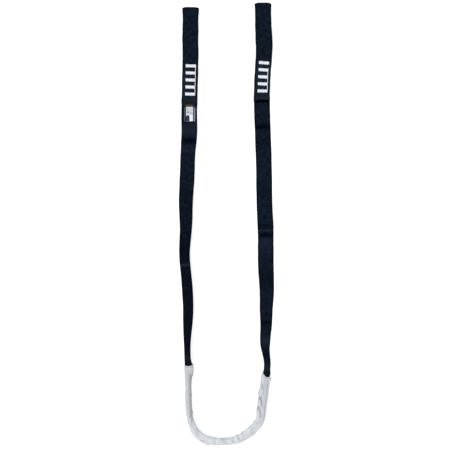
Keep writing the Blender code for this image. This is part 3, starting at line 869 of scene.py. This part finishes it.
def build_seam_stitches(route, material):
    start, end = route.mouths
    along = steps(start + HEM + 1, end - HEM - 1, 1.0)
    surface = sleeve_surface(route, along)
    middle = surface[len(surface) // 2]
    around = running(middle)
    lower_tip = around[CAP_POINTS + FLAT_POINTS + CAP_POINTS // 2]
    seam_at = int(np.argmin(np.abs(around - (lower_tip - SEAM_AT))))
    line = lifted(surface[:, seam_at], route.centre(along), SEWING_RISE)
    return thread_tubes("seam_stitches", sewn_line(line), SEWING_RADIUS, material)


# Materials


class Nodes:
    """Short spellings for building a material's node tree."""

    def __init__(self, name, roughness, sheen=0.0):
        self.material = bpy.data.materials.new(name)
        self.material.use_nodes = True
        self.tree = self.material.node_tree
        self.shader = self.tree.nodes["Principled BSDF"]
        self.shader.inputs["Roughness"].default_value = roughness
        self.shader.inputs["Sheen Weight"].default_value = sheen
        self.shader.inputs["Sheen Roughness"].default_value = 0.5

    def feed(self, socket, value):
        if isinstance(value, bpy.types.NodeSocket):
            self.tree.links.new(value, socket)
        else:
            socket.default_value = value

    def node(self, kind, **inputs):
        made = self.tree.nodes.new(kind)
        for name, value in inputs.items():
            self.feed(made.inputs[name.replace("_", " ")], value)
        return made

    def math(self, operation, *values):
        made = self.tree.nodes.new("ShaderNodeMath")
        made.operation = operation
        for socket, value in zip(made.inputs, values):
            self.feed(socket, value)
        return made.outputs[0]

    def times(self, first, second):
        return self.math("MULTIPLY", first, second)

    def plus(self, first, second):
        return self.math("ADD", first, second)

    def minus(self, first, second):
        return self.math("SUBTRACT", first, second)

    def held(self, value):
        """value, kept between 0 and 1."""
        return self.math("MINIMUM", self.math("MAXIMUM", value, 0.0), 1.0)

    def carried(self, name):
        """A number that the mesh carries at each point."""
        made = self.node("ShaderNodeAttribute")
        made.attribute_name = name
        return made.outputs["Fac"]

    def mix(self, share, first, second):
        made = self.tree.nodes.new("ShaderNodeMix")
        made.data_type = "RGBA"
        self.feed(made.inputs["Factor"], share)
        self.feed(made.inputs["A"], (*first, 1) if isinstance(first, tuple) else first)
        self.feed(made.inputs["B"], (*second, 1) if isinstance(second, tuple) else second)
        return made.outputs["Result"]

    def place(self):
        """The surface coordinates in millimetres: (round or across, along)."""
        uv = self.node("ShaderNodeUVMap").outputs["UV"]
        split = self.node("ShaderNodeSeparateXYZ", Vector=uv)
        return self.times(split.outputs["X"], 1 / MM), self.times(split.outputs["Y"], 1 / MM)

    def noise(self, u, v, scale, detail=2.0):
        vector = self.node("ShaderNodeCombineXYZ", X=u, Y=v).outputs["Vector"]
        made = self.node("ShaderNodeTexNoise", Vector=vector, Scale=scale, Detail=detail)
        return made.outputs["Fac"]

    def between(self, value, low, high):
        """1 where value is between low and high, else 0."""
        return self.times(self.math("GREATER_THAN", value, low), self.math("LESS_THAN", value, high))

    def panel(self, u, v, across, along):
        """1 inside two (low, high) ranges, else 0."""
        return self.times(self.between(u, *across), self.between(v, *along))

    def disc(self, u, v, centre, radius):
        """1 inside a circle, else 0."""
        x, y = self.minus(u, centre[0]), self.minus(v, centre[1])
        return self.math("LESS_THAN", self.plus(self.times(x, x), self.times(y, y)), radius**2)

    def rising(self, value, low, high):
        """0 up to low, 1 from high on, and even between them."""
        made = self.node("ShaderNodeMapRange", Value=value)
        made.inputs["From Min"].default_value = low
        made.inputs["From Max"].default_value = high
        return made.outputs["Result"]

    def bump(self, height, distance, strength=1.0):
        made = self.node("ShaderNodeBump", Height=height, Distance=distance * MM, Strength=strength)
        self.feed(self.shader.inputs["Normal"], made.outputs["Normal"])

    def colour(self, value):
        self.feed(self.shader.inputs["Base Color"], value)

    def roughness(self, value):
        self.feed(self.shader.inputs["Roughness"], value)


def webbing_material(route):
    m = Nodes("webbing_weave", 0.7)
    m.shader.inputs["Specular IOR Level"].default_value = 0.0
    u, v = m.place()
    wale = m.math("FLOOR", m.math("DIVIDE", u, WALE_PITCH))
    turn = m.minus(m.times(m.math("MODULO", wale, 2.0), 2.0), 1.0)
    yarn = m.math("SINE", m.plus(m.times(v, 2 * math.pi / WEB_YARN), m.times(turn, m.times(u, 7.0))))
    cloudy = m.noise(u, v, 0.16, 3.0)
    patches = m.times(m.minus(cloudy, 0.32), 2.8)
    fibres = m.noise(m.times(u, 6.0), v, 0.9, 3.0)
    tone = m.plus(m.times(patches, 0.65), m.times(fibres, 0.35))
    face = m.mix(tone, srgb(5, 9, 16), srgb(18, 26, 38))
    sewn = m.math(
        "MAXIMUM",
        m.rising(v, -SEWN_FROM, -SEWN_FROM - 6),
        m.rising(v, route.length + SEWN_FROM, route.length + SEWN_FROM + 6),
    )
    face = m.mix(m.times(sewn, 0.15), face, srgb(44, 52, 62))
    # The selvedges are darker: partly their own weave, partly painted shade where the edges roll away from
    # the light.
    flat = WEB_WIDTH - 2 * SELVEDGE
    far_edge = m.math("GREATER_THAN", u, PERIMETER / 2 + flat)
    edge = m.math("MAXIMUM", m.between(u, flat, PERIMETER / 2), far_edge)
    face = m.mix(m.times(edge, 0.45), face, srgb(3, 5, 10))
    shade = m.times(m.rising(v, *LEG_SHADE), m.math("LESS_THAN", v, HALF_WAY))
    face = m.mix(m.times(shade, 0.5), face, srgb(2, 4, 8))
    # painted shade darkens the webbing at its creases and waves, and painted highlight lightens it where
    # the value is negative
    crease_shade = m.carried("crease_shade")
    face = m.mix(m.times(m.held(crease_shade), 0.85), face, srgb(0, 2, 6))
    face = m.mix(m.held(m.times(crease_shade, -1.0)), face, srgb(34, 42, 54))
    under_lap = m.between(v, *(route.length - RIGHT["lap_end"] + reach for reach in LAP_SHADE))
    m.colour(m.mix(under_lap, face, srgb(0, 1, 3)))
    m.roughness(m.plus(0.60, m.times(fibres, 0.25)))
    m.bump(m.plus(m.times(yarn, 0.5), fibres), 0.10, 0.7)
    return m.material


def thread_material(name, bright):
    m = Nodes(name, 0.5, sheen=0.1)
    place = m.node("ShaderNodeTexCoord").outputs["Object"]
    grain = m.node("ShaderNodeTexNoise", Vector=place, Scale=2600.0, Detail=2.0).outputs["Fac"]
    soft = m.node("ShaderNodeTexNoise", Vector=place, Scale=260.0, Detail=1.0).outputs["Fac"]
    dim = tuple(c * 0.80 for c in bright)
    m.colour(m.mix(m.plus(m.times(grain, 0.6), m.times(soft, 0.4)), dim, bright))
    m.bump(grain, 0.06, 0.6)
    return m.material


def sleeve_material(route):
    m = Nodes("sleeve_weave", 0.78, sheen=0.15)
    u, v = m.place()
    warp, weft = (m.math("SINE", m.times(place, 2 * math.pi / SLEEVE_YARN)) for place in (u, v))
    weave = m.times(warp, weft)
    cloudy = m.noise(u, v, 0.06, 3.0)
    slubs = m.noise(m.times(u, 4.0), m.times(v, 0.5), 0.5, 2.0)
    tone = m.plus(m.times(cloudy, 0.55), m.times(slubs, 0.45))
    cloth = m.mix(tone, srgb(158, 161, 165), srgb(183, 185, 189))
    relief = m.carried("relief")
    # painted shade darkens the cloth in its creases and hollows, and painted highlight lightens its ridges
    cloth = m.mix(m.times(m.held(m.times(relief, -0.9)), 0.55), cloth, srgb(96, 100, 108))
    cloth = m.mix(m.times(m.held(relief), 0.35), cloth, srgb(214, 216, 220))
    start, end = route.mouths
    left_arm = m.minus(1.0, m.rising(v, *(start + distance for distance in LEFT_ARM_SHADE)))
    right_arm = m.rising(v, *(end - distance for distance in RIGHT_ARM_SHADE))
    on_edge = m.plus(m.times(left_arm, 0.22), m.times(right_arm, 0.07))
    m.colour(m.mix(on_edge, cloth, srgb(20, 21, 24)))
    m.roughness(m.plus(0.70, m.times(slubs, 0.15)))
    m.bump(m.plus(m.times(weave, 0.5), m.times(slubs, 0.6)), 0.10, 0.6)
    return m.material


def label_material():
    """A woven black label with a pale printed panel of plain marks, and no lettering."""
    m = Nodes("label_panel", 0.55)
    m.shader.inputs["Specular IOR Level"].default_value = 0.1
    u, v = m.place()
    x = m.minus(u, LABEL_U + LABEL_PRINT_SHIFT)
    across, down = m.math("FLOOR", m.math("DIVIDE", x, 0.9)), m.math("FLOOR", m.math("DIVIDE", v, 1.3))
    cell = m.node("ShaderNodeCombineXYZ", X=across, Y=down).outputs["Vector"]
    speck = m.node("ShaderNodeTexWhiteNoise", Vector=cell).outputs["Value"]
    speckled = m.times(m.math("GREATER_THAN", speck, 0.72), m.between(v, 6.4, 17.6))
    pale = m.mix(m.times(speckled, 0.55), srgb(176, 179, 184), srgb(70, 76, 86))
    pale = m.mix(m.panel(x, v, (-0.2, 5.0), (18.4, 27.6)), pale, srgb(192, 194, 198))
    right_line = m.panel(x, v, (6.6, 9.2), (6.0, 28.2))
    left_line = m.panel(x, v, (-8.7, -7.2), (6.0, 28.2))
    base = m.mix(m.times(right_line, 0.9), srgb(9, 12, 18), srgb(112, 117, 128))
    base = m.mix(m.times(left_line, 0.6), base, srgb(70, 80, 98))
    base = m.mix(m.panel(x, v, (-6.0, 4.6), (1.6, 4.6)), base, srgb(72, 52, 18))
    base = m.mix(m.panel(x, v, (4.6, 6.8), (1.6, 4.6)), base, srgb(30, 28, 18))
    base = m.mix(m.panel(x, v, (-5.8, 5.2), (5.0, 28.0)), base, pale)
    base = m.mix(m.disc(x, v, (-2.9, 13.4), 1.265), base, srgb(38, 43, 52))
    block = m.panel(x, v, (-5.8, -0.2), (21.0, 27.8))
    block = m.math("MAXIMUM", block, m.disc(x, v, (-3.0, 21.0), 2.793))
    m.colour(m.mix(block, base, srgb(33, 38, 48)))
    m.bump(m.math("SINE", m.times(v, 2 * math.pi / LABEL_RIB)), 0.05, 0.5)
    return m.material


def floor_material():
    """A pale sweep that glows a little, so that shadows on it stay faint."""
    m = Nodes("pale_floor", 0.9)
    m.shader.inputs["Specular IOR Level"].default_value = 0.0
    place = m.node("ShaderNodeTexCoord").outputs["Object"]
    grain = m.node("ShaderNodeTexNoise", Vector=place, Scale=3.0, Detail=2.0).outputs["Fac"]
    m.colour(m.mix(grain, (0.44, 0.44, 0.44), (0.46, 0.46, 0.46)))
    m.shader.inputs["Emission Color"].default_value = (1, 1, 1, 1)
    m.shader.inputs["Emission Strength"].default_value = FLOOR_GLOW
    return m.material


# Stage


def add_camera():
    """Straight above the sling, from far enough away for its edges to look parallel."""
    camera = bpy.data.objects.new("camera", bpy.data.cameras.new("camera"))
    camera.data.lens = 100
    camera.data.sensor_width = 36
    camera.data.clip_end = 100
    camera.location = CAMERA
    bpy.context.scene.collection.objects.link(camera)
    bpy.context.scene.camera = camera


def add_key_light():
    lamp = bpy.data.lights.new("key", "AREA")
    lamp.shape = "SQUARE"
    lamp.size = KEY_SIZE
    lamp.energy = KEY_LIGHT
    key = bpy.data.objects.new("key", lamp)
    key.location = KEY_PLACE
    key.rotation_mode = "QUATERNION"
    key.rotation_quaternion = Vector(KEY_PLACE).to_track_quat("Z", "Y")
    bpy.context.scene.collection.objects.link(key)


def add_stage():
    mesh = bpy.data.meshes.new("floor")
    corners = [(x * FLOOR_REACH, y * FLOOR_REACH, 0) for x, y in ((-1, -1), (1, -1), (1, 1), (-1, 1))]
    mesh.from_pydata(corners, [], [(0, 1, 2, 3)])
    mesh.materials.append(floor_material())
    floor = bpy.data.objects.new("floor", mesh)
    bpy.context.scene.collection.objects.link(floor)
    world = bpy.data.worlds.new("studio")
    world.use_nodes = True
    background = world.node_tree.nodes["Background"]
    background.inputs["Color"].default_value = (0.97, 0.985, 1.0, 1)
    background.inputs["Strength"].default_value = WORLD_LIGHT
    bpy.context.scene.world = world
    bpy.context.scene.view_settings.view_transform = "Standard"
    add_key_light()


# The sling


def finish_piece(nodes):
    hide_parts(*nodes)


def point(route, along):
    """A point of the route in metres."""
    return tuple(route.centre(np.array([along]))[0] * MM)


def build_webbing(route, material):
    joints = {joint["name"]: joint for joint in frame["joints"]}
    start, end = route.mouths
    inside = NECK_INSIDE + CORE_GAP
    core = build_strap("bight_strap", route, start + inside, end - inside, material)
    finish_piece(["bight_webbing"])
    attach(core, "sleeve")
    for eye, mouth, outward in ((LEFT, start, -1), (RIGHT, end, 1)):
        side = eye["side"]
        fold_y = joints[f"{side}_fold"]["pos_m"][1] / MM
        split_depth = route.depth(side, route.at_y(side, fold_y)) + PAST_FOLD
        strap = build_eye_strap(route, eye, split_depth, material)
        finish_piece([f"{side}_eye_webbing"])
        near, far = (point(route, route.at_y(side, fold_y + y)) for y in (-FOLD_BLEND, FOLD_BLEND))
        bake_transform(strap)
        split = route.depth(side, split_depth)
        neck = mouth - outward * NECK_INSIDE
        leg = build_strap(f"{side}_leg_strap", route, min(split, neck), max(split, neck), material)
        finish_piece([f"{side}_leg_webbing", f"{side}_neck_webbing"])
        near, far = (point(route, mouth + outward * distance) for distance in SWING_BLEND)
        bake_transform(leg)


def build_sewing(route, material):
    chance = np.random.default_rng(7)
    for eye, first in ((LEFT, 0), (RIGHT, 1)):
        side = eye["side"]
        for index in range(TACKS):
            tack = build_tack(route, eye, index, material, chance)
            finish_piece([f"{side}_bar_tack_{index + 1}"])
            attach(tack, eye["body"])
        line = build_carry(route, eye, first, material, chance)
        finish_piece([f"{side}_carry_thread"])
        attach(line, eye["body"])


def build_label_piece(route):
    label = build_label(route, label_material())
    finish_piece(["label_tail", "label_flap"])
    hinge = LEFT["lap_end"] + LABEL_HINGE
    start, end = (point(route, hinge + distance) for distance in LABEL_BLEND)
    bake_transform(label)


def build_sleeve_pieces(route):
    thread = thread_material("sleeve_sewing", srgb(200, 202, 207))
    sleeve = build_sleeve(route, sleeve_material(route))
    finish_piece(["wear_sleeve"])
    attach(sleeve, "sleeve")
    for side in ("left", "right"):
        hem = build_hem_stitches(route, side, thread)
        finish_piece([f"{side}_hem_stitching"])
        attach(hem, "sleeve")
    seam = build_seam_stitches(route, thread)
    finish_piece(["seam_stitching"])
    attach(seam, "sleeve")


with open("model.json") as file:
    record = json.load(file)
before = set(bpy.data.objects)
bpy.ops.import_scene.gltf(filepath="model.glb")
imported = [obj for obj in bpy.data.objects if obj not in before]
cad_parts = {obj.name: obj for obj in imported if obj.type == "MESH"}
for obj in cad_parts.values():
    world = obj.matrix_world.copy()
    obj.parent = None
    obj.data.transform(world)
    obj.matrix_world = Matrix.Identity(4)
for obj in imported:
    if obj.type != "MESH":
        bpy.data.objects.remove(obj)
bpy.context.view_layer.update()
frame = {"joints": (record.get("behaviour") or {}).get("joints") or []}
add_camera()
add_stage()
route = Route()
build_sleeve_pieces(route)
build_webbing(route, webbing_material(route))
build_sewing(route, thread_material("tack_sewing", srgb(216, 218, 222)))
build_label_piece(route)
